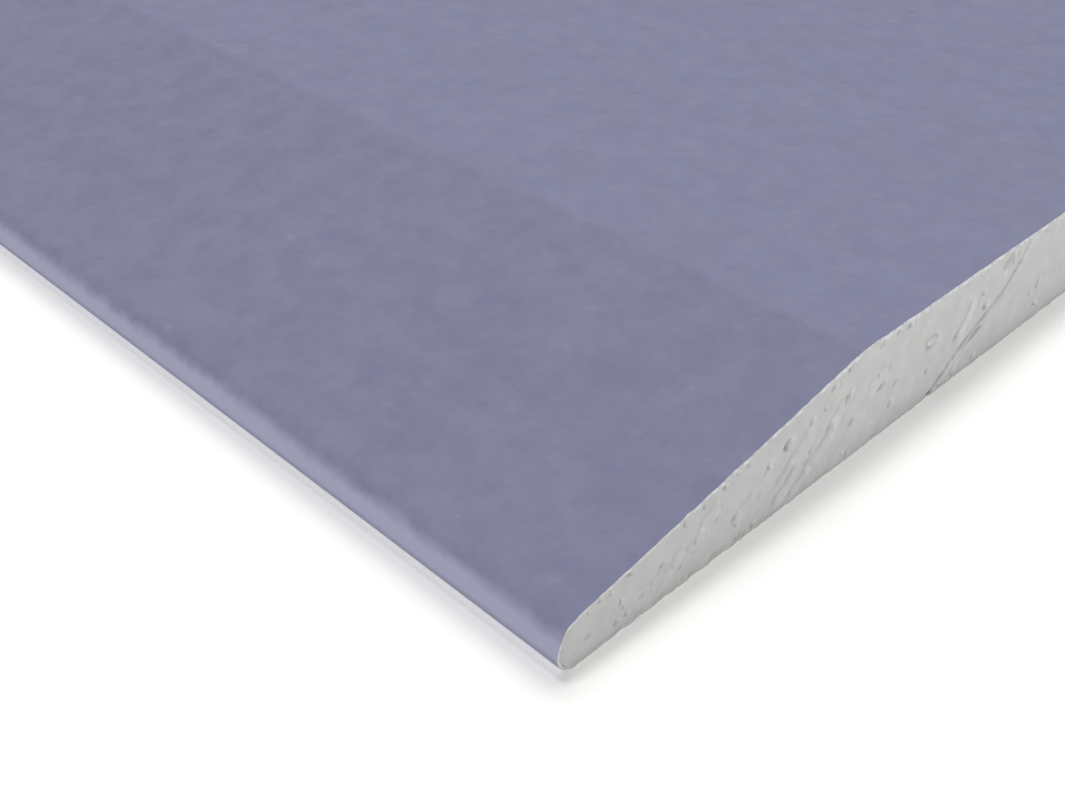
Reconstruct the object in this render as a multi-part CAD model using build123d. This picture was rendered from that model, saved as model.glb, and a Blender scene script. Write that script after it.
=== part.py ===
from build123d import *
import math
import os

# Drywall sheet lying face up on its back, in millimetres.
# X runs along the length, Y across the width, and Z up through the thickness.
# The origin is the middle of the back, on the surface that the sheet lies on.

# The whole sheet
sheet_length = 2400.0
sheet_width = 1200.0
sheet_thickness = 15.0

# The tapered long edges: the face falls from the full thickness to the edge's own
taper_width = 46.8
edge_thickness = 6.0
# The bend where the flat of the face turns down into the taper
taper_bend_radius = 8.0
# Height of the widest point of the rounded nose, as a share of the nose's height
nose_widest_share = 0.46

# The two papers. The face paper folds round the nose and returns under the back as a lap.
# The back paper is glued over the laps, short of the sheet's edges. The forming plate
# presses both flush, so each lap steps up by the back paper's thickness to pass above it.
face_paper_thickness = 0.35
back_paper_thickness = 0.30
lap_width = 32.0
back_paper_margin = 12.0
lap_step_run = 1.5

# The taper as a slope
taper_fall = sheet_thickness - edge_thickness
taper_slope = taper_fall / taper_width
taper_angle = math.degrees(math.atan(taper_slope))

# The nose's lower arc is a quarter circle that stands on the floor.
# Its upper arc touches the taper's line.
lower_nose_radius = nose_widest_share * edge_thickness
nose_widest_level = lower_nose_radius
upper_nose_radius = (edge_thickness - nose_widest_level) / (math.hypot(1, taper_slope) - taper_slope)

# Centres of the arcs at the +Y edge, as (across the width, above the floor)
edge_line = sheet_width / 2
lower_nose_center = (edge_line - lower_nose_radius, nose_widest_level)
upper_nose_center = (edge_line - upper_nose_radius, nose_widest_level)
bend_tangent = taper_bend_radius * math.tan(math.radians(taper_angle / 2))
bend_center = (edge_line - taper_width - bend_tangent, sheet_thickness - taper_bend_radius)

# The step of the lap, which ends where the back paper's edge is
lap_step_angle = math.atan(back_paper_thickness / lap_step_run)
lap_step_end = edge_line - back_paper_margin
lap_step_start = lap_step_end + lap_step_run


def sheet_outline(inset):
    """Section of the sheet without its back paper, drawn in by inset all round."""
    lower_nose = CenterArc(lower_nose_center, lower_nose_radius - inset, -90, 90)
    upper_nose = CenterArc(upper_nose_center, upper_nose_radius - inset, 0, 90 - taper_angle)
    bend = CenterArc(bend_center, taper_bend_radius - inset, 90 - taper_angle, taper_angle)
    taper = Line(upper_nose @ 1, bend @ 0)
    step_shift = inset * math.tan(lap_step_angle / 2)
    step_foot = (lap_step_start + step_shift, inset)
    step_top = (lap_step_end + step_shift, back_paper_thickness + inset)
    lap = Polyline(step_top, step_foot, lower_nose @ 0)
    right_edge = Curve() + [lap, lower_nose, upper_nose, taper, bend]
    left_edge = mirror(right_edge, about=Plane.YZ)
    face_line = Line(bend @ 1, mirror(bend, about=Plane.YZ) @ 1)
    back_line = Line(lap @ 0, mirror(lap, about=Plane.YZ) @ 0)
    return make_face(right_edge + left_edge + [face_line, back_line])


def strip_between(margin, level, height):
    """Rectangle across the sheet that stays clear of both long edges by margin."""
    strip = Rectangle(sheet_width - 2 * margin, height, align=(Align.CENTER, Align.MIN))
    return Pos(0, level) * strip


def run_along_length(section):
    """Solid with this section, from one cut end of the sheet to the other."""
    return extrude(Plane.YZ * section, amount=sheet_length / 2, both=True)


def gypsum_core():
    """The set gypsum: full section inside the face paper, and down between its laps."""
    inside_wrap = sheet_outline(face_paper_thickness)
    between_laps = strip_between(lap_width, back_paper_thickness, face_paper_thickness)
    return run_along_length(inside_wrap + between_laps)


def face_paper():
    """One sheet of paper over the face, round both noses and back under as two laps."""
    wrap = sheet_outline(0) - sheet_outline(face_paper_thickness)
    gap_between_laps = strip_between(lap_width, back_paper_thickness, face_paper_thickness)
    return run_along_length(wrap - gap_between_laps)


def back_paper():
    """The flat liner that closes the back and covers most of each lap."""
    return run_along_length(strip_between(back_paper_margin, 0, back_paper_thickness))


os.makedirs("parts", exist_ok=True)
pieces = {
    "gypsum_core": gypsum_core(),
    "face_paper": face_paper(),
    "back_paper": back_paper(),
}
for name, piece in pieces.items():
    export_step(piece, f"parts/{name}.step")
    print(name, "volume", round(piece.volume), "mm3")
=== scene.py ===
import math
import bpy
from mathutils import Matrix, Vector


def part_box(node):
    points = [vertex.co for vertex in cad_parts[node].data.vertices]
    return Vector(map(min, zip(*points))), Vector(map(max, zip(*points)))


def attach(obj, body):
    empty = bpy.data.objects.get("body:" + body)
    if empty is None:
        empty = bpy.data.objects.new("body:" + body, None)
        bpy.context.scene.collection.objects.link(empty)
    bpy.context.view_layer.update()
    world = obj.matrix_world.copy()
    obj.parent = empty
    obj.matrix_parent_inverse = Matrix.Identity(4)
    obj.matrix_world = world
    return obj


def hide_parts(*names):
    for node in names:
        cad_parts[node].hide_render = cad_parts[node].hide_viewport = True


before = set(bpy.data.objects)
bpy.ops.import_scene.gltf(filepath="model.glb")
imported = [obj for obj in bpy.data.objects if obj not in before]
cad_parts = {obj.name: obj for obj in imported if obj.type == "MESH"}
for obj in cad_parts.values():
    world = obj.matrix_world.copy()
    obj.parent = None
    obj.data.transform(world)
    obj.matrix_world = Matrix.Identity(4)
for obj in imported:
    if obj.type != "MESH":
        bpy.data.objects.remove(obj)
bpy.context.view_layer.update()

from types import SimpleNamespace

import bmesh
import bpy
import numpy as np
from mathutils import Vector

bl_info = {
    "name": "Drywall sheet",
    "version": (1, 0, 0),
    "blender": (4, 5, 0),
    "location": "View3D > Sidebar > Drywall",
    "description": "Builds a paper-wrapped gypsum sheet with tapered edges and sawn ends",
    "category": "Add Mesh",
}

# Everything is in metres, so sizes are written as millimetres times this
MM = 0.001

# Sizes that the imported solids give
face_paper_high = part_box("face_paper")[1]
gypsum_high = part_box("gypsum_core")[1]
back_paper_low, back_paper_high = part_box("back_paper")
HALF_LENGTH = face_paper_high.x
HALF_WIDTH = face_paper_high.y
SHEET_WIDTH = 2 * HALF_WIDTH
SHEET_THICKNESS = face_paper_high.z
FACE_PAPER_THICKNESS = face_paper_high.z - gypsum_high.z
BACK_PAPER_THICKNESS = back_paper_high.z - back_paper_low.z
BACK_PAPER_MARGIN = face_paper_high.y - back_paper_high.y

# Inputs of the Mix node for colours, which share their names with its other kinds
MIX_FACTOR, MIX_A, MIX_B = 0, 6, 7
WHITE = (1, 1, 1, 1)


def linear(hex_colour):
    """An sRGB hex colour as linear red, green, blue and alpha."""
    channels = [int(hex_colour[i:i + 2], 16) / 255 for i in (1, 3, 5)]
    return [c / 12.92 if c <= 0.04045 else ((c + 0.055) / 1.055) ** 2.4 for c in channels] + [1.0]


def colour_property(name, description, hex_colour):
    """A colour that the panel shows, with a hex value as its default."""
    return bpy.props.FloatVectorProperty(
        name=name, description=description, subtype="COLOR", size=4, min=0, max=1,
        default=linear(hex_colour),
    )


def length_property(name, description, millimetres):
    """A length that the panel shows, with its default in millimetres."""
    return bpy.props.FloatProperty(
        name=name, description=description, unit="LENGTH", precision=4, default=millimetres * MM,
    )


class SheetSizes(bpy.types.PropertyGroup):
    """Sizes of the section, the slope of the saw's streaks and the spacing of the mesh."""

    taper_width: length_property("Taper width", "Width of the sloping band along each long edge", 46.8)
    edge_thickness: length_property("Edge thickness", "Thickness that the taper runs down to", 6)
    bend_radius: length_property("Bend radius", "Radius where the face turns into the taper", 8)
    lap_width: length_property("Lap width", "How far the face paper returns under the back", 32)
    lap_step_run: length_property("Lap step", "Run of the step that lifts the lap over the back paper", 1.5)
    nose_widest_share: bpy.props.FloatProperty(
        name="Nose widest share", default=0.46, min=0.2, max=0.8, subtype="FACTOR",
        description="Height of the nose's widest point, as a share of the nose's height",
    )
    drag_angle: bpy.props.FloatProperty(
        name="Drag angle", default=math.radians(36), unit="ROTATION",
        description="Slope of the streaks that the saw dragged across the cut end",
    )
    fine_reach: length_property("Fine reach", "Length of the near end that is meshed finely", 100)
    fine_step: length_property("Fine step", "Spacing of the fine mesh along the end", 0.12)
    coarse_step: length_property("Coarse step", "Spacing of the coarse mesh along the end", 4)


class SheetColours(bpy.types.PropertyGroup):
    """Colours of the papers, the gypsum and the floor."""

    face_dense: colour_property("Face paper, denser", "Flocs with more dye", "#80819B")
    face_thin: colour_property("Face paper, thinner", "Flocs with less dye", "#8687A0")
    face_undyed: colour_property("Face paper, undyed", "Faint patches of undyed pulp", "#88899C")
    # Painted shade on the taper, which makes it darker than the flat of the face
    face_taper_shade: colour_property("Face paper, pressed", "Tint of the denser paper of the taper", "#F4F4F4")
    # The nose's pale band: partly rubbed paper, partly a painted highlight
    face_rub_and_highlight: colour_property("Face paper, rubbed", "The paler paper round the nose", "#A0A0B8")
    face_speck: colour_property("Face paper, specks", "Dark shives in the pulp", "#5A5A70")
    face_fleck: colour_property("Face paper, flecks", "Pale undyed fibres", "#B8B7C2")
    paper_edge: colour_property("Paper edge", "Undyed plies at a cut edge", "#F2F2F5")
    # Painted shade on the cut edges towards the floor
    paper_edge_shaded: colour_property("Paper edge, soiled", "The cut edge under the sheet", "#DADAD7")
    gypsum_pale: colour_property("Gypsum, pale", "Clean sawn gypsum", "#E2E2E2")
    gypsum_grey: colour_property("Gypsum, grey", "Gypsum smeared by the saw", "#DADADA")
    # Painted shade inside the air pits, the scores and the bubble's rim
    gypsum_pit_shade: colour_property("Gypsum, pits", "Inside of air pits and scores", "#8E8E8D")
    gypsum_dense: colour_property("Gypsum, dense", "Tint of the denser gypsum of the edges", "#F3F3F3")
    back_brown: colour_property("Back paper, brown", "Kraft fibre in the back paper", "#A8977D")
    back_grey: colour_property("Back paper, grey", "Recycled fibre in the back paper", "#B5A892")
    back_speck: colour_property("Back paper, specks", "Dark shives in the back paper", "#6E604C")
    back_fleck: colour_property("Back paper, flecks", "Pale fibres in the back paper", "#CFC4AE")
    floor: colour_property("Floor", "The pale floor under the sheet", "#F5F5F3")


def edge_form(sizes):
    """Slopes, radii and centres of one long edge, measured inward from its outermost line."""
    slope = (SHEET_THICKNESS - sizes.edge_thickness) / sizes.taper_width
    angle = math.atan(slope)
    lower_radius = sizes.nose_widest_share * sizes.edge_thickness
    upper_radius = (sizes.edge_thickness - lower_radius) / (math.hypot(1, slope) - slope)
    return SimpleNamespace(
        slope=slope, angle=angle, widest_level=lower_radius,
        lower_radius=lower_radius, upper_radius=upper_radius,
        bend_place=sizes.taper_width + sizes.bend_radius * math.tan(angle / 2),
        bend_level=SHEET_THICKNESS - sizes.bend_radius,
        step_angle=math.atan(BACK_PAPER_THICKNESS / sizes.lap_step_run),
    )


def lap_corners(sizes, inset):
    """Corners of the wrap's underside, from the lap's end to the nose, drawn in by inset."""
    form = edge_form(sizes)
    step_end = BACK_PAPER_MARGIN - inset * math.tan(form.step_angle / 2)
    raised = BACK_PAPER_THICKNESS + inset
    return np.array([
        (sizes.lap_width, raised), (step_end, raised),
        (step_end - sizes.lap_step_run, inset), (form.lower_radius, inset),
    ])


def steps_between(start, stop, step):
    """Even places from start to stop, about a step apart, with both ends."""
    return np.linspace(start, stop, max(1, round(abs(stop - start) / step)) + 1)


# Columns of the core round each nose, and the run of the sharp drop at each lap's end
NOSE_COLUMNS = 26
LAP_DROP_RUN = 0.01 * MM


def places_along_end(sizes):
    """Distances of the core's columns from the near long edge, and how many of them are fine."""
    lower_radius = edge_form(sizes).lower_radius
    turn = np.linspace(0, math.pi / 2, NOSE_COLUMNS)
    nose = FACE_PAPER_THICKNESS + (lower_radius - FACE_PAPER_THICKNESS) * (1 - np.cos(turn))
    lap_end = [sizes.lap_width, sizes.lap_width + LAP_DROP_RUN]
    fine = steps_between(lower_radius, sizes.fine_reach, sizes.fine_step)
    coarse = steps_between(sizes.fine_reach, SHEET_WIDTH - lower_radius, sizes.coarse_step)
    near = np.unique(np.concatenate([nose, fine, lap_end]))
    far = np.unique(np.concatenate([coarse[1:], SHEET_WIDTH - nose, SHEET_WIDTH - np.array(lap_end)]))
    return np.concatenate([near, far]), len(near)


def from_long_edge(place):
    """Distance from the nearer long edge, for distances from the near one."""
    return np.minimum(place, SHEET_WIDTH - place)


def core_heights(sizes, place):
    """Lowest and highest level of the gypsum at distances from the near long edge."""
    form = edge_form(sizes)
    inset = FACE_PAPER_THICKNESS
    place = from_long_edge(place)
    lap = np.concatenate([
        [(sizes.lap_width + LAP_DROP_RUN, BACK_PAPER_THICKNESS)], lap_corners(sizes, inset)])[::-1]
    lower = form.lower_radius - inset
    from_lower = np.clip(form.lower_radius - place, 0, lower)
    round_under = form.widest_level - np.sqrt(lower ** 2 - from_lower ** 2)
    low = np.where(place < form.lower_radius, round_under, np.interp(place, lap[:, 0], lap[:, 1]))

    upper = form.upper_radius - inset
    from_upper = np.clip(form.upper_radius - place, 0, upper)
    nose = form.widest_level + np.sqrt(upper ** 2 - from_upper ** 2)
    taper = sizes.edge_thickness + form.slope * place - inset * math.hypot(1, form.slope)
    bend = sizes.bend_radius - inset
    bend_run = bend * math.sin(form.angle)
    from_bend = np.clip(form.bend_place - place, 0, bend_run)
    face = form.bend_level + np.sqrt(bend ** 2 - from_bend ** 2)
    nose_end = form.upper_radius - upper * math.sin(form.angle)
    bend_start = form.bend_place - bend_run
    high = np.where(place < nose_end, nose, np.where(place < bend_start, taper, face))
    return low, np.maximum(high, low)


# Large odd factors that scatter the numbers of neighbouring places
COLUMN_FACTOR, ROW_FACTOR, SEED_FACTOR, SCATTER_FACTOR = 374761393, 668265263, 974634777, 1274126177


def lattice_value(column, row, seed):
    """A repeatable number from 0 to 1 for each whole-numbered place."""
    mixed = column * COLUMN_FACTOR + row * ROW_FACTOR + seed * SEED_FACTOR
    mixed = (mixed ^ (mixed >> 13)) * SCATTER_FACTOR
    mixed = mixed & 0xFFFFFFFF
    return ((mixed ^ (mixed >> 16)) & 0xFFFF) / 0xFFFF


def smooth_noise(across, along, seed):
    """Soft noise from -1 to 1 whose bumps are about one unit wide."""
    column, row = np.floor(across).astype(np.int64), np.floor(along).astype(np.int64)
    s, t = across - column, along - row
    s, t = s * s * (3 - 2 * s), t * t * (3 - 2 * t)
    low = lattice_value(column, row, seed) * (1 - s) + lattice_value(column + 1, row, seed) * s
    high = lattice_value(column, row + 1, seed) * (1 - s) + lattice_value(column + 1, row + 1, seed) * s
    return (low * (1 - t) + high * t) * 2 - 1


def layered_noise(across, along, seed, layers=3):
    """Soft noise with finer and weaker layers on top."""
    total = np.zeros(np.broadcast(across, along).shape)
    for layer in range(layers):
        total += smooth_noise(across * 2 ** layer, along * 2 ** layer, seed + layer) / 2 ** layer
    return total


# Scored and torn lines across the near end: half width and depth of the groove, then its points
# as (distance from the long edge, height) from the top down, all in millimetres. Some of the lines
# start or end outside the sheet.
SCORES = [
    (0.28, 0.58, [(86.0, 16.8), (84.6, 15.2), (82.2, 11.8), (79.1, 8.9), (77.0, 7.6)]),
    (0.30, 0.62, [(78.2, 8.6), (73.6, 6.0), (70.4, 4.5), (68.0, 2.7), (65.8, 1.1), (62.2, -0.9)]),
    (0.34, 0.36, [(75.4, 6.0), (72.6, 4.8), (69.6, 2.6)]),
    (0.45, 0.30, [(71.2, 11.6), (70.3, 9.0), (68.6, 6.0)]),
    (0.38, 0.36, [(70.3, 2.2), (66.0, 0.3)]),
    (0.38, 0.34, [(80.3, 14.3), (77.4, 12.6)]),
    (0.56, 0.18, [(44.9, 10.6), (43.3, 8.5), (41.8, 6.6)]),
    (0.60, 0.23, [(43.6, 7.9), (41.2, 5.2), (38.3, 3.8)]),
    (0.68, 0.21, [(38.7, 9.6), (35.6, 6.5), (32.7, 3.6)]),
    (0.55, 0.24, [(36.9, 5.6), (34.5, 2.9), (32.8, 1.7)]),
    (0.50, 0.22, [(39.3, 3.4), (35.4, 1.2)]),
    (0.50, 0.12, [(23.2, 8.2), (20.2, 6.4)]),
    (0.45, 0.12, [(20.9, 6.0), (18.1, 4.4)]),
    (0.45, 0.12, [(18.3, 5.6), (15.2, 3.6)]),
    (0.45, 0.11, [(16.0, 4.8), (12.9, 3.4)]),
    (0.52, 0.15, [(29.4, 6.2), (25.6, 3.4)]),
    (0.55, 0.13, [(52.8, 11.4), (49.2, 8.6)]),
]
# Share of a score's length over which each of its ends fades out
SCORE_FADE = 0.15
# Depth of a score whose painted shade is full
DARK_SCORE_DEPTH = 0.42 * MM
# Scores are deeper and shallower by this share, over patches of this size
SCORE_UNEVEN_SHARE = 0.30
SCORE_PATCH = 1.6 * MM
# The burr that a score leaves along its right side: its height as a share of the score's depth, and
# its distance from the score's line and half width as shares of the score's half width
BURR_SHARE = 0.6
BURR_PLACE_SHARE = 2.6
BURR_WIDTH_SHARE = 1.1

# Air pits and dents that show on the near end, as (distance from the long edge, height,
# half length along the drag, half width), in millimetres
SHOWN_PITS = [
    (0.9, 3.5, 0.35, 0.18), (4.4, 2.9, 0.70, 0.28), (7.2, 6.4, 0.50, 0.26), (9.7, 1.9, 0.55, 0.30),
    (12.2, 2.9, 0.80, 0.28), (14.7, 4.9, 0.70, 0.30), (17.8, 2.7, 0.60, 0.32), (17.9, 8.5, 0.50, 0.34),
    (20.1, 4.9, 0.60, 0.30), (20.9, 8.9, 0.50, 0.32), (23.3, 5.7, 0.75, 0.34), (23.9, 9.5, 0.55, 0.34),
    (26.5, 4.1, 0.85, 0.40), (27.4, 0.7, 0.90, 0.44), (27.5, 10.2, 0.60, 0.34), (29.6, 1.1, 0.80, 0.48),
    (31.3, 7.7, 0.95, 0.46), (34.4, 9.1, 0.95, 0.80), (38.6, 9.9, 0.75, 0.56), (39.2, 5.6, 0.85, 0.40),
    (41.9, 12.5, 0.60, 0.46), (44.9, 14.0, 0.85, 0.55), (45.4, 9.9, 1.30, 0.52), (46.9, 5.5, 0.80, 0.46),
    (50.8, 14.1, 0.80, 0.34), (52.3, 7.8, 1.40, 0.56), (53.9, 14.1, 0.60, 0.36), (55.2, 3.7, 0.85, 0.60),
    (55.5, 6.8, 0.90, 0.44), (56.3, 14.1, 0.75, 0.50), (62.7, 4.9, 0.75, 0.56), (68.6, 7.1, 1.00, 0.60),
    (69.8, 0.9, 0.75, 0.48), (73.5, 11.0, 0.70, 0.44), (74.5, 1.4, 0.75, 0.52), (74.8, 8.6, 0.80, 0.65),
    (79.8, 13.1, 0.70, 0.44), (87.5, 5.1, 0.60, 0.46), (89.3, 5.9, 0.95, 0.70), (89.6, 2.5, 0.75, 0.50),
    (66.5, 0.7, 0.45, 0.28), (67.6, 1.2, 0.55, 0.30), (69.0, 1.9, 0.60, 0.26), (72.0, 2.9, 0.60, 0.26),
    (70.9, 7.2, 0.55, 0.24), (72.9, 9.6, 0.45, 0.26),
]
# Depth of a pit as a share of its half width, the power that softens its rim, the depth at which its
# painted shade is full, and how far it may turn from the drag
PIT_DEPTH_SHARE = 0.7
PIT_RIM_POWER = 1.5
DARK_PIT_DEPTH = 0.6 * MM
PIT_TURN = math.radians(28)

# The rim of one large burst bubble: distance and height of its middle, how many times longer than
# high it is, then its radius, half width and depth, in millimetres, and how much painted shade it gets
BUBBLE_RIM = (62.5, 9.1, 1.4, 0.82, 0.26, 0.20)
RIM_DARKNESS = 1 / 3

# Small pits strewn over the near end: how many in the gypsum, right under the face paper, and
# along the lower edge
SMALL_PITS = 18
PITS_UNDER_PAPER = 14
PITS_ALONG_BACK = 16
# Where they start along the end, and how far those in the gypsum stay from its upper and lower edges
SMALL_PIT_START = 4 * MM
SMALL_PIT_MARGIN = 0.5 * MM
# Ranges of their half widths, of how many times longer than wide they are, and of how far those in
# the two rows lie from the edge, with the lengths in millimetres
SMALL_PIT_WIDTHS = (0.18, 0.32)
SMALL_PIT_STRETCHES = (1.0, 2.0)
PIT_ROW_DEPTHS = (0.2, 0.8)

# The marks on the near end are torn out of shape by about this much, over patches of this size, and
# the scores by a share of it
TEAR_REACH = 0.16 * MM
TEAR_PATCH = 0.8 * MM
SCORE_TEAR_SHARE = 0.45


def small_pits(sizes, seed):
    """Small air pits over the finely meshed stretch, some of them in rows along its edges."""
    chance = np.random.default_rng(seed)
    count = SMALL_PITS + PITS_UNDER_PAPER + PITS_ALONG_BACK
    places = chance.uniform(SMALL_PIT_START, sizes.fine_reach, count)
    low, high = core_heights(sizes, places)
    pits = []
    for number, place in enumerate(places):
        width = chance.uniform(*SMALL_PIT_WIDTHS)
        length = width * chance.uniform(*SMALL_PIT_STRETCHES)
        from_edge = chance.uniform(*PIT_ROW_DEPTHS) * MM
        height = chance.uniform(low[number] + SMALL_PIT_MARGIN, high[number] - SMALL_PIT_MARGIN)
        if number >= SMALL_PITS + PITS_UNDER_PAPER:
            height = low[number] + from_edge
        elif number >= SMALL_PITS:
            height = high[number] - from_edge
        pits.append((place / MM, height / MM, length, width))
    return pits


def measure_from_line(place, height, points):
    """Distance of each place from a line through points, plus on its right, and how far along it is."""
    nearest = np.full(place.shape, np.inf)
    share = np.zeros(place.shape)
    runs = [math.hypot(x1 - x0, z1 - z0) for (x0, z0), (x1, z1) in zip(points, points[1:])]
    run_before = 0
    for (x0, z0), (x1, z1), run in zip(points, points[1:], runs):
        ux, uz = (x1 - x0) / run, (z1 - z0) / run
        across, up = place / MM - x0, height / MM - z0
        along = np.clip(across * ux + up * uz, 0, run)
        side = np.where(up * ux > across * uz, 1, -1)
        distance = side * np.hypot(across - along * ux, up - along * uz)
        nearer = np.abs(distance) < np.abs(nearest)
        nearest = np.where(nearer, distance, nearest)
        share = np.where(nearer, (run_before + along) / sum(runs), share)
        run_before += run
    return nearest, share


def press_pits(depth, pit_shade, place, height, pits, drag_angle):
    """Sinks soft-rimmed pits into the relief of an end, and paints shade into them."""
    for number, (pit_place, pit_height, length, width) in enumerate(pits):
        turn = drag_angle + PIT_TURN * (2 * lattice_value(number, 0, 1) - 1)
        cos, sin = math.cos(turn), math.sin(turn)
        across, up = place / MM - pit_place, height / MM - pit_height
        along, aside = (across * cos + up * sin) / length, (up * cos - across * sin) / width
        bowl = np.clip(1 - along ** 2 - aside ** 2, 0, None) ** PIT_RIM_POWER
        pit_depth = PIT_DEPTH_SHARE * width * MM
        depth += pit_depth * bowl
        np.maximum(pit_shade, bowl * min(1, pit_depth / DARK_PIT_DEPTH), out=pit_shade)


def press_grooves(depth, pit_shade, place, height, seed):
    """Sinks the scored lines, with their burrs, and the bubble's rim into the relief of the near end, and
    paints shade into the grooves and the rim.
    """
    uneven = 1 + SCORE_UNEVEN_SHARE * smooth_noise(place / SCORE_PATCH, height / SCORE_PATCH, seed)
    for half_width, groove_depth, points in SCORES:
        aside, share = measure_from_line(place, height, points)
        aside = aside / half_width
        fade = np.clip(np.minimum(share, 1 - share) / SCORE_FADE, 0, 1) * uneven
        groove = np.exp(-aside ** 2) * fade
        burr = np.exp(-((aside - BURR_PLACE_SHARE) / BURR_WIDTH_SHARE) ** 2) * fade
        depth += groove_depth * MM * (groove - BURR_SHARE * burr)
        darkness = (groove_depth * MM / DARK_SCORE_DEPTH) ** 2
        np.maximum(pit_shade, darkness * groove ** 2, out=pit_shade)
    rim_place, rim_height, stretch, radius, half_width, rim_depth = BUBBLE_RIM
    from_middle = np.hypot((place / MM - rim_place) / stretch, height / MM - rim_height)
    rim = np.exp(-((from_middle - radius) / half_width) ** 2) * uneven
    depth += rim_depth * MM * rim
    np.maximum(pit_shade, rim * RIM_DARKNESS, out=pit_shade)


# Depth of the sawn gypsum behind the plane of the cut, where it has no marks
CUT_DEPTH = 0.16 * MM

# Wear along the end's lower edge and along the face paper's cut edge: sizes of the ragged patches and
# of the chips' patches, the level of the noise above which it chips, and the chips' depth. The rows
# and the seed step pick a stretch of the noise. Both edges are ragged to the same depth.
LOWER_EDGE = SimpleNamespace(
    ragged_patch=0.6 * MM, ragged_row=0, chip_patch=2.2 * MM, chip_row=7.5, chip_seed=9,
    chip_level=0.2, chip_depth=0.24 * MM)
PAPER_EDGE = SimpleNamespace(
    ragged_patch=0.8 * MM, ragged_row=3.5, chip_patch=1.3 * MM, chip_row=5.5, chip_seed=3,
    chip_level=0.55, chip_depth=0.3 * MM)
RAGGED_DEPTH = 0.05 * MM


def worn_back(place, seed, edge):
    """How far a cut edge is frayed and chipped back."""
    still = np.zeros_like(place)
    ragged = RAGGED_DEPTH * (1 + layered_noise(place / edge.ragged_patch, still + edge.ragged_row, seed))
    noise = smooth_noise(place / edge.chip_patch, still + edge.chip_row, seed + edge.chip_seed)
    chips = np.clip(noise - edge.chip_level, 0, 1)
    return np.clip(ragged, 0, None) + chips * edge.chip_depth


def bottom_break(place, seed):
    """How far the cut end is broken back along its lower edge."""
    return CUT_DEPTH + worn_back(place, seed, LOWER_EDGE)


# How high up the face paper's cut edge the band towards the floor reaches, as a share of the edge's
# thickness: it is painted darker as shade, and it sets where the edge breaks back and leans less
TOWARDS_FLOOR_SHARE = 1.6
# How far the face paper's cut edge leans back on the flat of the face, and less down the taper
EDGE_BEVEL = 0.19 * MM

# How far up the end its broken lower edge reaches, where it is least broken, and how much further for
# each step that it is broken back
BREAK_RISE = 0.35 * MM
BREAK_SPREAD = 1.5

# The sawn gypsum between its marks: size and depth of the grain, and length, width and depth of the
# waves along the drag
SAWN_GRAIN_SIZE, SAWN_GRAIN_DEPTH = 1.3 * MM, 0.02 * MM
WAVE_LENGTH, WAVE_WIDTH, WAVE_DEPTH = 11 * MM, 2.6 * MM, 0.04 * MM
# Steps from an end's seed to the seeds of its noises
GRAIN_SEED, WAVE_SEED, TEAR_ALONG_SEED, TEAR_UP_SEED, SCORE_SEED = 20, 40, 50, 60, 70


def short_of_nose(sizes, place):
    """Is 1 where the underside is flat, and falls to 0 round each nose."""
    return np.clip(from_long_edge(place) / edge_form(sizes).lower_radius, 0, 1)


def end_relief(sizes, place, height, low, end):
    """Depth of the sawn gypsum behind the plane of the cut, and how much painted shade each place gets in
    its pits and scores.
    """
    cos, sin = math.cos(sizes.drag_angle), math.sin(sizes.drag_angle)
    along, across = place * cos + height * sin, height * cos - place * sin
    grain = layered_noise(
        place / SAWN_GRAIN_SIZE, height / SAWN_GRAIN_SIZE, end.seed + GRAIN_SEED, layers=2)
    waves = smooth_noise(along / WAVE_LENGTH, across / WAVE_WIDTH, end.seed + WAVE_SEED)
    depth = CUT_DEPTH + SAWN_GRAIN_DEPTH * grain + WAVE_DEPTH * waves
    pit_shade = np.zeros_like(depth)
    if end.marked:
        patch_place, patch_height = place / TEAR_PATCH, height / TEAR_PATCH
        tear_along = TEAR_REACH * layered_noise(patch_place, patch_height, end.seed + TEAR_ALONG_SEED)
        tear_up = TEAR_REACH * layered_noise(patch_place, patch_height, end.seed + TEAR_UP_SEED)
        pits = SHOWN_PITS + small_pits(sizes, end.seed)
        press_pits(depth, pit_shade, place + tear_along, height + tear_up, pits, sizes.drag_angle)
        press_grooves(
            depth, pit_shade, place + SCORE_TEAR_SHARE * tear_along, height + SCORE_TEAR_SHARE * tear_up,
            end.seed + SCORE_SEED)
    broken = bottom_break(place, end.seed)
    rise = BREAK_RISE + BREAK_SPREAD * (broken - CUT_DEPTH)
    crumble = np.clip(1 - (height - low) / rise, 0, 1)
    crumble = crumble * short_of_nose(sizes, place)
    return np.clip(depth + (broken - depth) * crumble, 0, None), pit_shade


def grid_faces(columns, rows, first):
    """Quads of a grid whose vertices run row by row within each column."""
    corner = first + np.arange((columns - 1) * rows).reshape(columns - 1, rows)[:, :-1].ravel()
    return np.stack([corner, corner + rows, corner + rows + 1, corner + 1], 1).tolist()


def make_piece(name, vertices, faces, materials, face_materials, point_values):
    """A mesh object from arrays, with one number for each vertex under each name."""
    mesh = bpy.data.meshes.new(name)
    mesh.from_pydata(vertices.tolist(), [], faces)
    for material in materials:
        mesh.materials.append(material)
    mesh.polygons.foreach_set("material_index", face_materials)
    mesh.polygons.foreach_set("use_smooth", [True] * len(faces))
    for value_name, values in point_values.items():
        attribute = mesh.attributes.new(value_name, "FLOAT", "POINT")
        attribute.data.foreach_set("value", np.asarray(values, np.float32))
    close_mesh(mesh)
    piece = bpy.data.objects.new(name, mesh)
    bpy.context.scene.collection.objects.link(piece)
    return piece


# Points nearer than this are one point, and folds sharper than this stay sharp
MERGE_DISTANCE = 0.0001 * MM
SHARP_FOLD = math.radians(45)


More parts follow.
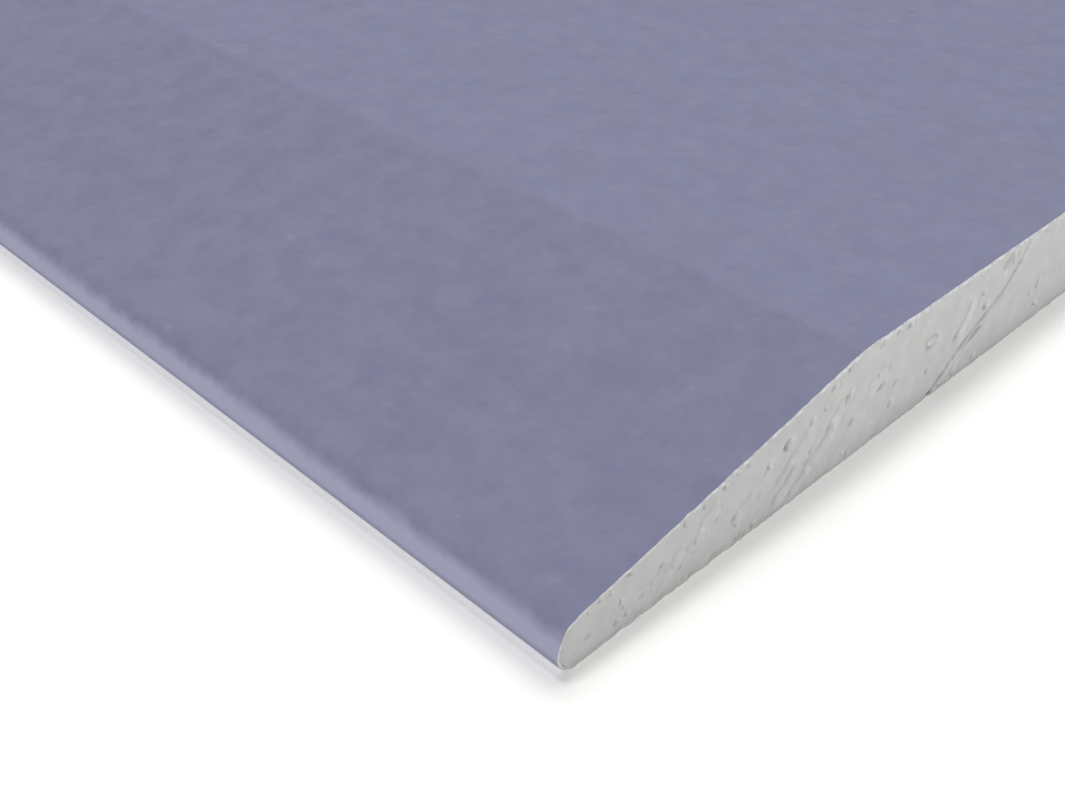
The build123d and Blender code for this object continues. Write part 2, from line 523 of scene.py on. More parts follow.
def close_mesh(mesh):
    """Merges doubled points, turns the faces outward and keeps sharp folds sharp."""
    work = bmesh.new()
    work.from_mesh(mesh)
    bmesh.ops.remove_doubles(work, verts=work.verts, dist=MERGE_DISTANCE)
    bmesh.ops.recalc_face_normals(work, faces=work.faces)
    work.to_mesh(mesh)
    work.free()
    mesh.set_sharp_from_angle(angle=SHARP_FOLD)


# The end that shows its marks, and the plainer far end
ENDS = (SimpleNamespace(side=1, seed=5, marked=True), SimpleNamespace(side=-1, seed=11, marked=False))
# Rows of points up the near end's fine and coarse stretches and up the far end. Each gap between the
# coarse rows holds a whole number of the fine rows' gaps.
FINE_ROWS, COARSE_ROWS, FAR_ROWS = 91, 19, 13


def stitch(fine_column, first, rows):
    """Faces that join a fine column of points to a coarser one, which starts at the point first."""
    fold = (len(fine_column) - 1) // (rows - 1)
    joined = [fine_column[row * fold:(row + 1) * fold + 1] for row in range(rows - 1)]
    return [[first + row, first + row + 1, *points[::-1]] for row, points in enumerate(joined)]


def build_core(sizes, material):
    """The gypsum: a finely worked near end, a plainer far end, and the plain sides between."""
    places, fine_count = places_along_end(sizes)
    low, high = core_heights(sizes, places)
    vertices, faces, pit_shades, plain, rings = [], [], [], [], []
    first = 0
    for end in ENDS:
        spans = [(0, len(places), FAR_ROWS)]
        if end.marked:
            spans = [(0, fine_count, FINE_ROWS), (fine_count, len(places), COARSE_ROWS)]
        bottom, top = [], []
        last_column = None
        for start, stop, rows in spans:
            share = np.linspace(0, 1, rows)[None, :]
            place = np.repeat(places[start:stop, None], rows, 1)
            height = low[start:stop, None] * (1 - share) + high[start:stop, None] * share
            depth, pit_shade = end_relief(sizes, place, height, low[start:stop, None], end)
            x = end.side * (HALF_LENGTH - depth)
            vertices.append(np.stack([x, place - HALF_WIDTH, height], -1).reshape(-1, 3))
            pit_shades.append(pit_shade.ravel())
            plain.append(np.full(pit_shade.size, rows != FINE_ROWS))
            faces += grid_faces(stop - start, rows, first)
            columns = first + np.arange(stop - start) * rows
            if last_column is not None:
                faces += stitch(last_column, first, rows)
            last_column = list(range(int(columns[-1]), int(columns[-1]) + rows))
            bottom.append(columns)
            top.append(columns + rows - 1)
            first += (stop - start) * rows
        rings.append(np.concatenate(bottom + [column[::-1] for column in reversed(top)]))
    near_ring, far_ring = rings
    faces += np.stack(
        [near_ring, np.roll(near_ring, -1), np.roll(far_ring, -1), far_ring], 1).tolist()
    return make_piece(
        "gypsum_core_sawn", np.concatenate(vertices), faces, [material], [0] * len(faces),
        {"pit_shade": np.concatenate(pit_shades), "plain": np.concatenate(plain)})


def line(start, stop, count):
    """Evenly spaced points from start to stop, without the start."""
    share = np.arange(1, count + 1)[:, None] / count
    return start * (1 - share) + stop * share


# Points round the nose's lower and upper arcs and the bend
LOWER_NOSE_POINTS, UPPER_NOSE_POINTS, BEND_POINTS = 14, 18, 7


def edge_outline(sizes, inset, step, reach):
    """Half of the wrap's section as (distance from the long edge, level), from the lap to the reach."""
    form = edge_form(sizes)
    steep = math.pi / 2 - form.angle
    arcs = []
    for radius, place, level, start, stop, count in (
        (form.lower_radius, form.lower_radius, form.widest_level, -math.pi / 2, 0, LOWER_NOSE_POINTS),
        (form.upper_radius, form.upper_radius, form.widest_level, 0, steep, UPPER_NOSE_POINTS),
        (sizes.bend_radius, form.bend_place, form.bend_level, steep, math.pi / 2, BEND_POINTS),
    ):
        turn = np.linspace(start, stop, count)
        arcs.append(np.stack([
            place - (radius - inset) * np.cos(turn), level + (radius - inset) * np.sin(turn)], 1))
    lower, upper, bend = arcs
    corners = lap_corners(sizes, inset)
    lengths = -np.diff(lap_corners(sizes, 0)[:, 0])
    lap = [line(a, b, max(1, round(length / step))) for a, b, length in zip(corners, corners[1:], lengths)]
    taper = line(upper[-1], bend[0], round(sizes.taper_width / step))
    face_end = np.array([reach, SHEET_THICKNESS - inset])
    flat = line(bend[-1], face_end, round((reach - form.bend_place) / step))
    return np.concatenate([corners[:1], *lap, lower[1:], upper[1:], taper, bend[1:], flat])


# Spacing of the papers' points, as multiples of the core's fine and coarse steps
PAPER_FINE_SHARE, PAPER_COARSE_SHARE = 2.0, 2.5
# Distances from each end at which the papers have a ring of points, in millimetres
RINGS_FROM_END = (0, 0.6, 2, 8, 40, 200, 600)
# Slots of the papers' two materials: the outside, and the plies inside and at the cut edges
OUTSIDE, PLIES = 0, 1


def wrap_outline(sizes, inset):
    """The whole section of the wrap as (distance from the near long edge, level)."""
    fine, coarse = sizes.fine_step * PAPER_FINE_SHARE, sizes.coarse_step * PAPER_COARSE_SHARE
    near = edge_outline(sizes, inset, fine, sizes.fine_reach)
    far = edge_outline(sizes, inset, coarse, sizes.fine_reach)[::-1] * (-1, 1) + (SHEET_WIDTH, 0)
    middle = line(near[-1], far[0], round((far[0, 0] - near[-1, 0]) / coarse))
    return np.concatenate([near, middle, far[1:]])


def build_paper(name, outer, inner, wear, materials, outer_values):
    """A sheet of paper between two outlines, with both of its cut edges worn back."""
    section = np.concatenate([outer, inner[::-1]])
    count, ring_size = len(outer), len(section)
    near = [HALF_LENGTH - distance * MM for distance in RINGS_FROM_END]
    stations = near + [0] + [-x for x in reversed(near)]
    rings = []
    for x in stations:
        xs = np.full(ring_size, x)
        for end, worn in zip(ENDS, wear):
            if x == end.side * HALF_LENGTH:
                xs -= end.side * np.concatenate(worn)
        rings.append(np.stack([xs, section[:, 0] - HALF_WIDTH, section[:, 1]], 1))
    faces, face_materials = [], []
    index = np.arange(ring_size)
    for number in range(len(stations) - 1):
        here, there = index + number * ring_size, index + (number + 1) * ring_size
        faces += np.stack([here, np.roll(here, -1), np.roll(there, -1), there], 1).tolist()
        face_materials += [OUTSIDE] * (count - 1) + [PLIES] * (count + 1)
    for start in (0, (len(stations) - 1) * ring_size):
        out, back = start + np.arange(count), start + ring_size - 1 - np.arange(count)
        faces += np.stack([out[:-1], out[1:], back[1:], back[:-1]], 1).tolist()
        face_materials += [PLIES] * (count - 1)
    point_values = {
        value_name: np.tile(np.concatenate([values, values[::-1]]), len(stations))
        for value_name, values in outer_values.items()
    }
    return make_piece(name, np.concatenate(rings), faces, materials, face_materials, point_values)


def add_node(tree, kind, inputs=None, **settings):
    """Adds a node with its settings, and fills its inputs with values, sockets or nodes."""
    node = tree.nodes.new(kind)
    for name, value in settings.items():
        setattr(node, name, value)
    for name, value in (inputs or {}).items():
        if isinstance(value, bpy.types.Node):
            value = next(socket for socket in value.outputs if socket.enabled)
        if isinstance(value, bpy.types.NodeSocket):
            tree.links.new(value, node.inputs[name])
        else:
            node.inputs[name].default_value = value
    return node


def new_material(name):
    """A material without a shader yet, its node tree, and the place on the object."""
    material = bpy.data.materials.new(name)
    material.use_nodes = True
    tree = material.node_tree
    tree.nodes.clear()
    return material, tree, add_node(tree, "ShaderNodeTexCoord").outputs["Object"]


def middle_distances(tree, point):
    """Distances of a place from the sheet's middle along X, Y and Z."""
    apart = add_node(tree, "ShaderNodeVectorMath", {0: point}, operation="ABSOLUTE")
    return add_node(tree, "ShaderNodeSeparateXYZ", {0: apart}).outputs


# Layers of the pulp's marks: their turn, then the length and width of the patch that may hold one,
# the share of the patch that it fills, the share of patches that are bare, and its boldness.
# The first two are soft clumps of fibre, and the rest are shives and single fibres. Those are
# a tenth of a millimetre wide in real pulp, and here about three times as wide so that they show.
PULP_LAYERS = [
    (math.radians(45), 4.2 * MM, 3.0 * MM, 0.36, 0.55, 0.40),
    (math.radians(20), 2.6 * MM, 2.0 * MM, 0.34, 0.60, 0.40),
    (math.radians(45), 4.6 * MM, 1.6 * MM, 0.10, 0.85, 0.9),
    (math.radians(70), 3.8 * MM, 1.7 * MM, 0.10, 0.88, 0.9),
]
# Share of the pulp's marks that are darker than the paper
DARK_SHARE = 0.65


def pulp_colour(tree, point, base, dark, pale, boldest):
    """Clumps, dark shives and pale fibres of recycled pulp over a base colour."""
    result = base
    for turn, length, width, fill, bare, boldness_share in PULP_LAYERS:
        laid = add_node(tree, "ShaderNodeMapping", {
            "Vector": point, "Rotation": (0, 0, turn), "Scale": (length, width, 1)},
            vector_type="TEXTURE")
        patch = add_node(tree, "ShaderNodeTexVoronoi", {
            "Vector": laid, "Scale": 1}, voronoi_dimensions="2D")
        chance = add_node(tree, "ShaderNodeSeparateColor", {"Color": patch.outputs["Color"]})
        shape = add_node(tree, "ShaderNodeMapRange", {
            "Value": patch.outputs["Distance"], "From Min": 0, "From Max": fill,
            "To Min": 1, "To Max": 0}, interpolation_type="SMOOTHSTEP")
        boldness = add_node(tree, "ShaderNodeMapRange", {
            "Value": chance.outputs["Red"], "From Min": bare, "From Max": 1,
            "To Max": boldest * boldness_share})
        amount = add_node(tree, "ShaderNodeMath", {0: shape, 1: boldness}, operation="MULTIPLY")
        is_dark = add_node(tree, "ShaderNodeMath", {
            0: chance.outputs["Green"], 1: DARK_SHARE}, operation="LESS_THAN")
        tint = add_node(tree, "ShaderNodeMix", {
            MIX_FACTOR: is_dark, MIX_A: pale, MIX_B: dark}, data_type="RGBA")
        result = add_node(tree, "ShaderNodeMix", {
            MIX_FACTOR: amount, MIX_A: result, MIX_B: tint}, data_type="RGBA")
    return result


# Patterns of the face paper: sizes of its flocs, its stains and its tooth, the tooth's depth, and
# the length, width and height of the streaks that the papermaking machine leaves
FLOC_SIZE, STAIN_SIZE, TOOTH_SIZE, TOOTH_DEPTH = 5 * MM, 14 * MM, 0.6 * MM, 0.007 * MM
STREAK_SIZE = (700 * MM, 90 * MM, 90 * MM)
# The nose's pale band, partly rubbed paper and partly a painted highlight, in distances round the nose from
# its widest line:
# where its upper edge fades, the size and reach of that edge's waves, where it fades towards the floor as
# painted shade on the underside, and how much of the band is left in that painted shade
NOSE_BAND_FADE = (2.2 * MM, 4.3 * MM)
NOSE_BAND_WAVE_SIZE, NOSE_BAND_WAVE_REACH = 3 * MM, 1.8 * MM
NOSE_BAND_SHADE = (-0.6 * MM, 0.15 * MM)
NOSE_BAND_LEFT_IN_SHADE = 0.45


def face_paper_material(colours):
    """Dyed multi-ply liner, calendered."""
    # Calendering leaves it matte and even. Flocs of more and less dyed pulp show as faint mottles,
    # and the papermaking machine leaves faint streaks along the length. The taper is darkened with painted
    # shade, and the nose is paler, partly rubbed and partly a painted highlight, with painted shade on its
    # underside.
    material, tree, point = new_material("Dyed liner paper, calendered")
    flocs = add_node(tree, "ShaderNodeTexNoise", {
        "Vector": point, "Scale": 1 / FLOC_SIZE, "Detail": 4, "Roughness": 0.74})
    laid = add_node(tree, "ShaderNodeMapping", {
        "Vector": point, "Scale": STREAK_SIZE}, vector_type="TEXTURE")
    streaks = add_node(tree, "ShaderNodeTexNoise", {"Vector": laid, "Scale": 1, "Detail": 2})
    stains = add_node(tree, "ShaderNodeTexNoise", {
        "Vector": point, "Scale": 1 / STAIN_SIZE, "Detail": 2, "Distortion": 0.5})
    streaked = add_node(tree, "ShaderNodeMath", {
        0: streaks, 1: 0.15, 2: flocs}, operation="MULTIPLY_ADD")
    stained = add_node(tree, "ShaderNodeMath", {
        0: stains, 1: 0.25, 2: streaked}, operation="MULTIPLY_ADD")
    dye = add_node(tree, "ShaderNodeMapRange", {"Value": stained, "From Min": 0.55, "From Max": 0.85})
    dyed = add_node(tree, "ShaderNodeMix", {
        MIX_FACTOR: dye, MIX_A: colours.face_thin, MIX_B: colours.face_dense}, data_type="RGBA")
    undyed = add_node(tree, "ShaderNodeMapRange", {
        "Value": stains, "From Min": 0.56, "From Max": 0.74, "To Max": 0.5})
    mottled = add_node(tree, "ShaderNodeMix", {
        MIX_FACTOR: undyed, MIX_A: dyed, MIX_B: colours.face_undyed}, data_type="RGBA")
    # Painted shade that darkens the taper, varied a little with the flocs
    taper_shade_share = add_node(tree, "ShaderNodeAttribute", attribute_name="taper_shade_share")
    uneven = add_node(tree, "ShaderNodeMapRange", {"Value": dye, "To Min": 0.6, "To Max": 1})
    taper_shade_amount = add_node(tree, "ShaderNodeMath", {
        0: taper_shade_share.outputs["Fac"], 1: uneven}, operation="MULTIPLY")
    denser = add_node(tree, "ShaderNodeMix", {
        MIX_FACTOR: taper_shade_amount, MIX_A: mottled,
        MIX_B: colours.face_taper_shade}, data_type="RGBA", blend_type="MULTIPLY")
    pulp = pulp_colour(tree, point, denser, colours.face_speck, colours.face_fleck, boldest=0.20)

    # The pale band, partly rubbed paper and partly a painted highlight, runs a few millimetres round the
    # nose with a wavy upper edge, and painted shade takes part of it back on the underside
    round_nose = add_node(tree, "ShaderNodeAttribute", attribute_name="round_nose")
    waves = add_node(tree, "ShaderNodeTexNoise", {
        "Vector": point, "Scale": 1 / NOSE_BAND_WAVE_SIZE, "Detail": 4, "Roughness": 0.65})
    wavy = add_node(tree, "ShaderNodeMath", {
        0: waves, 1: NOSE_BAND_WAVE_REACH, 2: round_nose.outputs["Fac"]}, operation="MULTIPLY_ADD")
    below_top = add_node(tree, "ShaderNodeMapRange", {
        "Value": wavy, "From Min": NOSE_BAND_FADE[0], "From Max": NOSE_BAND_FADE[1], "To Min": 1, "To Max": 0},
        interpolation_type="SMOOTHSTEP")
    above_floor = add_node(tree, "ShaderNodeMapRange", {
        "Value": round_nose.outputs["Fac"], "From Min": NOSE_BAND_SHADE[0], "From Max": NOSE_BAND_SHADE[1],
        "To Min": NOSE_BAND_LEFT_IN_SHADE},
        interpolation_type="SMOOTHSTEP")
    rub_and_highlight = add_node(tree, "ShaderNodeMath", {0: below_top, 1: above_floor}, operation="MULTIPLY")
    colour = add_node(tree, "ShaderNodeMix", {
        MIX_FACTOR: rub_and_highlight, MIX_A: pulp, MIX_B: colours.face_rub_and_highlight}, data_type="RGBA")
    tooth = add_node(tree, "ShaderNodeTexNoise", {
        "Vector": point, "Scale": 1 / TOOTH_SIZE, "Detail": 3})
    bump = add_node(tree, "ShaderNodeBump", {"Height": tooth, "Distance": TOOTH_DEPTH, "Strength": 1})
    gloss = add_node(tree, "ShaderNodeMapRange", {
        "Value": flocs, "From Min": 0.3, "From Max": 0.7, "To Min": 0.82, "To Max": 0.92})
    shader = add_node(tree, "ShaderNodeBsdfPrincipled", {
        "Base Color": colour, "Roughness": gloss,
        "Normal": bump, "IOR": 1.5, "Specular IOR Level": 0.05})
    add_node(tree, "ShaderNodeOutputMaterial", {"Surface": shader})
    return material


# Size of the tufts of fibre at a cut edge
TUFT_SIZE = 0.9 * MM


def paper_edge_material(colours):
    """Plies of liner, sawn."""
    # The undyed inner plies are pale, fibrous and dry, and painted greyer towards the floor as shade
    material, tree, point = new_material("Liner paper plies, sawn")
    fibre = add_node(tree, "ShaderNodeTexNoise", {"Vector": point, "Scale": 1 / TUFT_SIZE, "Detail": 3})
    fray = add_node(tree, "ShaderNodeMapRange", {"Value": fibre, "From Min": 0.42, "From Max": 0.62})
    clean = add_node(tree, "ShaderNodeMix", {
        MIX_FACTOR: fray, MIX_A: colours.gypsum_grey, MIX_B: colours.paper_edge}, data_type="RGBA")
    towards_floor = add_node(tree, "ShaderNodeAttribute", attribute_name="towards_floor")
    colour = add_node(tree, "ShaderNodeMix", {
        MIX_FACTOR: towards_floor.outputs["Fac"], MIX_A: clean,
        MIX_B: colours.paper_edge_shaded}, data_type="RGBA")
    shader = add_node(tree, "ShaderNodeBsdfPrincipled", {
        "Base Color": colour, "Roughness": 0.9, "IOR": 1.5, "Specular IOR Level": 0.1})
    add_node(tree, "ShaderNodeOutputMaterial", {"Surface": shader})
    return material


# Width of the denser gypsum along each long edge
DENSE_EDGE = 50 * MM
# Patterns of the gypsum: sizes of its mottles, its opened bubbles and its fine pores, and of the saw's
# smears, which are longest along the drag
MOTTLE_SIZE, BUBBLE_SIZE, PORE_SIZE = 2.5 * MM, 3 * MM, 0.16 * MM
SMEAR_SIZE = (2 * MM, 7 * MM, 2 * MM)
# Depth of the pores, how many times deeper an opened bubble is, and how strong the painted shade in a pit
# is
PORE_DEPTH = 0.016 * MM
PIT_OVER_PORE = 15
PIT_SHADE_STRENGTH = 0.72


def gypsum_material(colours, drag_angle):
    """Foamed gypsum, set and sawn."""
    # Chalky and dull, with fine pores, smeared a little greyer along the saw's drag, and denser
    # and greyer towards the long edges, where the slurry is left unfoamed
    material, tree, point = new_material("Set gypsum, sawn")
    laid = add_node(tree, "ShaderNodeMapping", {
        "Vector": point, "Rotation": (drag_angle, 0, 0), "Scale": SMEAR_SIZE}, vector_type="TEXTURE")
    streaks = add_node(tree, "ShaderNodeTexNoise", {"Vector": laid, "Scale": 1, "Detail": 0})
    grain = add_node(tree, "ShaderNodeTexNoise", {"Vector": point, "Scale": 1 / MOTTLE_SIZE, "Detail": 4})
    both = add_node(tree, "ShaderNodeMath", {0: streaks, 1: 0.2, 2: grain}, operation="MULTIPLY_ADD")
    smear = add_node(tree, "ShaderNodeMapRange", {"Value": both, "From Min": 0.43, "From Max": 0.77})
    base = add_node(tree, "ShaderNodeMix", {
        MIX_FACTOR: smear, MIX_A: colours.gypsum_grey, MIX_B: colours.gypsum_pale}, data_type="RGBA")
    from_middle = middle_distances(tree, point)
    towards_edge = add_node(tree, "ShaderNodeMapRange", {
        "Value": from_middle["Y"], "From Min": HALF_WIDTH - DENSE_EDGE, "From Max": HALF_WIDTH})
    dense = add_node(tree, "ShaderNodeMix", {
        MIX_FACTOR: towards_edge, MIX_A: base, MIX_B: colours.gypsum_dense},
        data_type="RGBA", blend_type="MULTIPLY")

    # Pressed pits where the mesh is fine, and bubbles cut open by the saw where it is coarse, both darkened
    # with painted shade
    pit_shade = add_node(tree, "ShaderNodeAttribute", attribute_name="pit_shade")
    plain = add_node(tree, "ShaderNodeAttribute", attribute_name="plain")
    bubbles = add_node(tree, "ShaderNodeTexVoronoi", {"Vector": point, "Scale": 1 / BUBBLE_SIZE})
    uneven = add_node(tree, "ShaderNodeMath", {
        0: grain, 1: 0.3, 2: bubbles.outputs["Distance"]}, operation="MULTIPLY_ADD")
    inside = add_node(tree, "ShaderNodeMapRange", {
        "Value": uneven, "From Min": 0.20, "From Max": 0.35, "To Min": 0.5, "To Max": 0},
        interpolation_type="SMOOTHSTEP")
    opened = add_node(tree, "ShaderNodeMath", {
        0: inside, 1: plain.outputs["Fac"]}, operation="MULTIPLY")
    pits = add_node(tree, "ShaderNodeMath", {0: pit_shade.outputs["Fac"], 1: opened}, operation="MAXIMUM")
    pit_shading = add_node(tree, "ShaderNodeMath", {0: pits, 1: PIT_SHADE_STRENGTH}, operation="MULTIPLY")
    colour = add_node(tree, "ShaderNodeMix", {
        MIX_FACTOR: pit_shading, MIX_A: dense, MIX_B: colours.gypsum_pit_shade}, data_type="RGBA")
    pores = add_node(tree, "ShaderNodeTexNoise", {"Vector": point, "Scale": 1 / PORE_SIZE, "Detail": 2})
    sunk = add_node(tree, "ShaderNodeMath", {
        0: opened, 1: -PIT_OVER_PORE, 2: pores}, operation="MULTIPLY_ADD")
    bump = add_node(tree, "ShaderNodeBump", {"Height": sunk, "Distance": PORE_DEPTH, "Strength": 1})
    shader = add_node(tree, "ShaderNodeBsdfPrincipled", {
        "Base Color": colour, "Normal": bump,
        "Roughness": 0.92, "IOR": 1.52, "Specular IOR Level": 0.1})
    add_node(tree, "ShaderNodeOutputMaterial", {"Surface": shader})
    return material


# Patterns of the back paper: sizes of its flocs and its coarse tooth, and the tooth's depth
BACK_FLOC_SIZE, BACK_TOOTH_SIZE, BACK_TOOTH_DEPTH = 6 * MM, 0.5 * MM, 0.02 * MM


def back_paper_material(colours):
    """Recycled kraft liner, uncoated."""
    # Unbleached and rougher than the face: brown-grey and mottled, with darker and paler fibres
    material, tree, point = new_material("Recycled kraft liner, uncoated")
    flocs = add_node(tree, "ShaderNodeTexNoise", {
        "Vector": point, "Scale": 1 / BACK_FLOC_SIZE, "Detail": 5, "Roughness": 0.6})
    formation = add_node(tree, "ShaderNodeMapRange", {"Value": flocs, "From Min": 0.3, "From Max": 0.7})
    base = add_node(tree, "ShaderNodeMix", {
        MIX_FACTOR: formation, MIX_A: colours.back_brown, MIX_B: colours.back_grey}, data_type="RGBA")
    pulp = pulp_colour(tree, point, base, colours.back_speck, colours.back_fleck, boldest=0.45)
    tooth = add_node(tree, "ShaderNodeTexNoise", {
        "Vector": point, "Scale": 1 / BACK_TOOTH_SIZE, "Detail": 3})
    bump = add_node(tree, "ShaderNodeBump", {
        "Height": tooth, "Distance": BACK_TOOTH_DEPTH, "Strength": 1})
    shader = add_node(tree, "ShaderNodeBsdfPrincipled", {
        "Base Color": pulp, "Normal": bump, "Roughness": 0.85, "IOR": 1.5, "Specular IOR Level": 0.2})
    add_node(tree, "ShaderNodeOutputMaterial", {"Surface": shader})
    return material


def settle(piece, node):
    """Puts a piece on the sheet's one body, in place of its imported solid."""
    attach(piece, "root")
    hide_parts(node)


class DRYWALL_OT_gypsum_core(bpy.types.Operator):
    """Builds the gypsum core with its sawn ends"""

    bl_idname = "drywall.gypsum_core"
    bl_label = "Gypsum core"

    def execute(self, context):
        sizes, colours = context.scene.drywall_sizes, context.scene.drywall_colours
        piece = build_core(sizes, gypsum_material(colours, sizes.drag_angle))
        settle(piece, "gypsum_core")
        return {"FINISHED"}


def distance_round_nose(sizes, level):
    """Distance of the wrap's points from the nose's widest line, along the paper and upward."""
    form = edge_form(sizes)
    above = np.clip((level - form.widest_level) / form.upper_radius, 0, 1)
    below = np.clip((form.widest_level - level) / form.lower_radius, 0, 1)
    return form.upper_radius * np.arcsin(above) - form.lower_radius * np.arcsin(below)


class DRYWALL_OT_face_paper(bpy.types.Operator):
    """Wraps the dyed face paper over the face and round both long edges"""

    bl_idname = "drywall.face_paper"
    bl_label = "Face paper"

    def execute(self, context):
        sizes, colours = context.scene.drywall_sizes, context.scene.drywall_colours
        form = edge_form(sizes)
        outer, inner = wrap_outline(sizes, 0), wrap_outline(sizes, FACE_PAPER_THICKNESS)
        place, level = outer.T
        towards_floor = np.clip(1 - level / (TOWARDS_FLOOR_SHARE * sizes.edge_thickness), 0, 1)
        under = towards_floor * short_of_nose(sizes, place)
        from_edge = from_long_edge(place)
        lean = EDGE_BEVEL * (1 - towards_floor) ** 2 * np.clip(from_edge / form.bend_place, 0, 1)
        wear = []
        for end in ENDS:
            frayed = worn_back(place, end.seed, PAPER_EDGE)
            worn = under * bottom_break(place, end.seed) + (1 - under) * frayed
            wear.append((worn + lean, worn[::-1]))
        bend_run = sizes.bend_radius * math.sin(form.angle)
        outer_values = {
            "towards_floor": towards_floor,
            "taper_shade_share": np.clip((form.bend_place - from_edge) / bend_run, 0, 1),
            "round_nose": distance_round_nose(sizes, level),
        }
        materials = [face_paper_material(colours), paper_edge_material(colours)]
        piece = build_paper("face_paper_wrap", outer, inner, wear, materials, outer_values)
        settle(piece, "face_paper")
        return {"FINISHED"}


class DRYWALL_OT_back_paper(bpy.types.Operator):
    """Lays the plain liner over the back and the laps"""

    bl_idname = "drywall.back_paper"
    bl_label = "Back paper"

    def execute(self, context):
        sizes, colours = context.scene.drywall_sizes, context.scene.drywall_colours
        fine, coarse = sizes.fine_step * PAPER_FINE_SHARE, sizes.coarse_step * PAPER_COARSE_SHARE
        near = steps_between(BACK_PAPER_MARGIN, sizes.fine_reach, fine)
        far = steps_between(sizes.fine_reach, SHEET_WIDTH - BACK_PAPER_MARGIN, coarse)
        places = np.concatenate([near, far[1:]])
        outer = np.stack([places, np.zeros(len(places))], 1)
        inner = outer + (0, BACK_PAPER_THICKNESS)
        broken = [bottom_break(places, end.seed) for end in ENDS]
        wear = [(worn, worn[::-1]) for worn in broken]
        materials = [back_paper_material(colours), paper_edge_material(colours)]
        piece = build_paper(
            "back_paper_liner", outer, inner, wear, materials, {"towards_floor": np.ones(len(places))})
        settle(piece, "back_paper")
        return {"FINISHED"}


# The camera, fitted to the outlines in the photograph, with its lens and sensor in millimetres
CAMERA_PLACE = (HALF_LENGTH + 55.92 * MM, -HALF_WIDTH - 58.19 * MM, 90.96 * MM)
CAMERA_AZIMUTH = math.radians(45.507)
CAMERA_ELEVATION = math.radians(35.979)
CAMERA_LENS = 43.09
SENSOR_WIDTH = 36.0
NEAREST_SEEN = 5 * MM

# Level of each light on a surface that faces it, where 1 shows a colour as it is written
WORLD_LEVEL = 0.28
LAMPS = [
    # name, level, azimuth that it stands at, elevation, angle that it spans, in degrees
    ("key_softbox", 0.524, 214.4, 51.9, 48.4),
    ("top_softbox", 0.265, 289.2, 76.8, 14.8),
    ("fill_softbox", 0.365, 21.8, 11.6, 23.3),
]
# How far the floor reaches each way, its level just under the sheet, and its glow for the camera
FLOOR_REACH = 40.0
FLOOR_LEVEL = -0.02 * MM
FLOOR_LIFT = 0.19
# The floor glows more in the gap under the rounded long edges, so the shadow there stays pale:
# how much more, and where this starts to fade and ends, outward from the edge's outermost line and
# from the cut end
GAP_LIFT = 0.25
GAP_FADE = (-1.1 * MM, 0.5 * MM)
GAP_END_FADE = (-0.8 * MM, 0.2 * MM)


def direction(azimuth, elevation):
    """Unit vector from the object towards a place, with azimuth 0 at -Y and 90 at +X."""
    return Vector((math.sin(azimuth) * math.cos(elevation),
                   -math.cos(azimuth) * math.cos(elevation), math.sin(elevation)))


def seen_ray(tree):
    """Is 1 for rays that show the surroundings to the camera, straight or through gloss or glass."""
    path = add_node(tree, "ShaderNodeLightPath")
    seen = path.outputs["Is Camera Ray"]
    for kind in ("Is Glossy Ray", "Is Transmission Ray"):
        seen = add_node(tree, "ShaderNodeMath", {0: seen, 1: path.outputs[kind]}, operation="MAXIMUM")
    return seen


def floor_material(colours):
    """Painted board, matte."""
    # The camera sees it white, with the sheet's shadow kept
    material, tree, point = new_material("Painted board, matte white")
    from_middle = middle_distances(tree, point)
    under_edge = add_node(tree, "ShaderNodeMapRange", {
        "Value": from_middle["Y"], "From Min": HALF_WIDTH + GAP_FADE[0],
        "From Max": HALF_WIDTH + GAP_FADE[1], "To Min": GAP_LIFT, "To Max": 0},
        interpolation_type="SMOOTHSTEP")
    short_of_end = add_node(tree, "ShaderNodeMapRange", {
        "Value": from_middle["X"], "From Min": HALF_LENGTH + GAP_END_FADE[0],
        "From Max": HALF_LENGTH + GAP_END_FADE[1], "To Min": 1, "To Max": 0})
    glow = add_node(tree, "ShaderNodeMath", {
        0: under_edge, 1: short_of_end, 2: FLOOR_LIFT}, operation="MULTIPLY_ADD")
    lift = add_node(tree, "ShaderNodeMath", {0: seen_ray(tree), 1: glow}, operation="MULTIPLY")
    matte = add_node(tree, "ShaderNodeBsdfDiffuse", {"Color": colours.floor})
    white = add_node(tree, "ShaderNodeEmission", {"Color": WHITE, "Strength": lift})
    both = add_node(tree, "ShaderNodeAddShader", {0: matte, 1: white})
    add_node(tree, "ShaderNodeOutputMaterial", {"Surface": both})
    return material


def place_on_stage(name, data, towards, location=(0, 0, 0)):
    """A lamp or camera that stands in a direction from the object and faces it."""
    holder = bpy.data.objects.new(name, data)
    holder.location = location
    holder.rotation_mode = "QUATERNION"
    holder.rotation_quaternion = towards.to_track_quat("Z", "Y")
    bpy.context.scene.collection.objects.link(holder)
    return holder


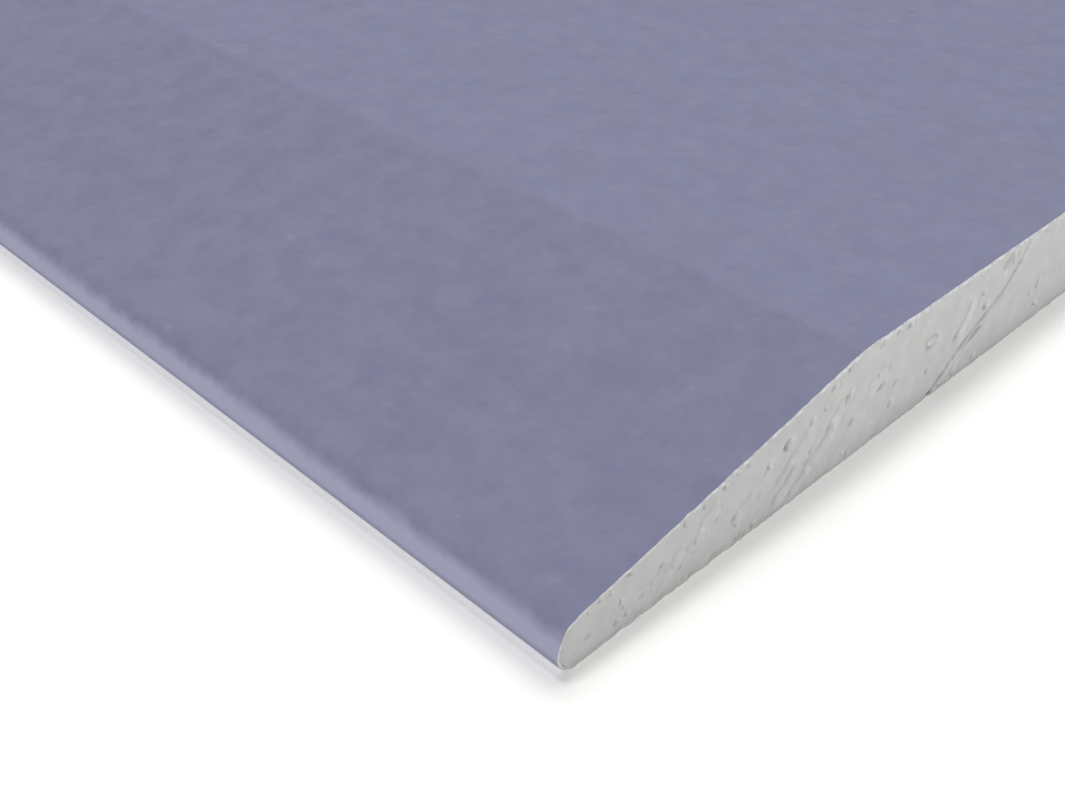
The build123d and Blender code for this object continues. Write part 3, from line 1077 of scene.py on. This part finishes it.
class DRYWALL_OT_stage(bpy.types.Operator):
    """Sets the pale floor, the soft lamps, the surroundings and the camera"""

    bl_idname = "drywall.stage"
    bl_label = "Stage"

    def execute(self, context):
        scene = context.scene
        mesh = bpy.data.meshes.new("floor")
        corners = [(x * FLOOR_REACH, y * FLOOR_REACH, FLOOR_LEVEL) for x, y in
                   ((-1, -1), (1, -1), (1, 1), (-1, 1))]
        mesh.from_pydata(corners, [], [(0, 1, 2, 3)])
        mesh.materials.append(floor_material(scene.drywall_colours))
        floor = bpy.data.objects.new("floor", mesh)
        scene.collection.objects.link(floor)

        for name, level, azimuth, elevation, span in LAMPS:
            lamp = bpy.data.lights.new(name, "SUN")
            lamp.energy = level * math.pi
            lamp.angle = math.radians(span)
            place_on_stage(name, lamp, direction(math.radians(azimuth), math.radians(elevation)))

        world = bpy.data.worlds.new("white_studio")
        world.use_nodes = True
        tree = world.node_tree
        tree.nodes.clear()
        level = add_node(tree, "ShaderNodeMapRange", {
            "Value": seen_ray(tree), "To Min": WORLD_LEVEL, "To Max": 1})
        glow = add_node(tree, "ShaderNodeBackground", {"Color": WHITE, "Strength": level})
        add_node(tree, "ShaderNodeOutputWorld", {"Surface": glow})
        scene.world = world

        camera = bpy.data.cameras.new("camera")
        camera.sensor_width = SENSOR_WIDTH
        camera.lens = CAMERA_LENS
        camera.clip_start = NEAREST_SEEN
        scene.camera = place_on_stage(
            "camera", camera, direction(CAMERA_AZIMUTH, CAMERA_ELEVATION), CAMERA_PLACE)
        scene.view_settings.view_transform = "Standard"
        return {"FINISHED"}


class DRYWALL_PT_panel(bpy.types.Panel):
    """The sheet's pieces, sizes and colours in the 3D view's sidebar"""

    bl_idname = "DRYWALL_PT_panel"
    bl_label = "Drywall sheet"
    bl_space_type = "VIEW_3D"
    bl_region_type = "UI"
    bl_category = "Drywall"

    def draw(self, context):
        for operator in OPERATORS:
            self.layout.operator(operator.bl_idname)
        for group in (context.scene.drywall_sizes, context.scene.drywall_colours):
            for name in group.__annotations__:
                self.layout.prop(group, name)


OPERATORS = (DRYWALL_OT_gypsum_core, DRYWALL_OT_face_paper, DRYWALL_OT_back_paper, DRYWALL_OT_stage)
CLASSES = (SheetSizes, SheetColours, *OPERATORS, DRYWALL_PT_panel)


def register():
    """Adds the classes, and the scene's sizes and colours."""
    for cls in CLASSES:
        bpy.utils.register_class(cls)
    bpy.types.Scene.drywall_sizes = bpy.props.PointerProperty(type=SheetSizes)
    bpy.types.Scene.drywall_colours = bpy.props.PointerProperty(type=SheetColours)


def unregister():
    """Takes the settings and the classes away again."""
    del bpy.types.Scene.drywall_colours
    del bpy.types.Scene.drywall_sizes
    for cls in reversed(CLASSES):
        bpy.utils.unregister_class(cls)


def main():
    """Builds the sheet and its stage."""
    register()
    bpy.ops.drywall.gypsum_core()
    bpy.ops.drywall.face_paper()
    bpy.ops.drywall.back_paper()
    bpy.ops.drywall.stage()


if __name__ == "__main__":
    main()
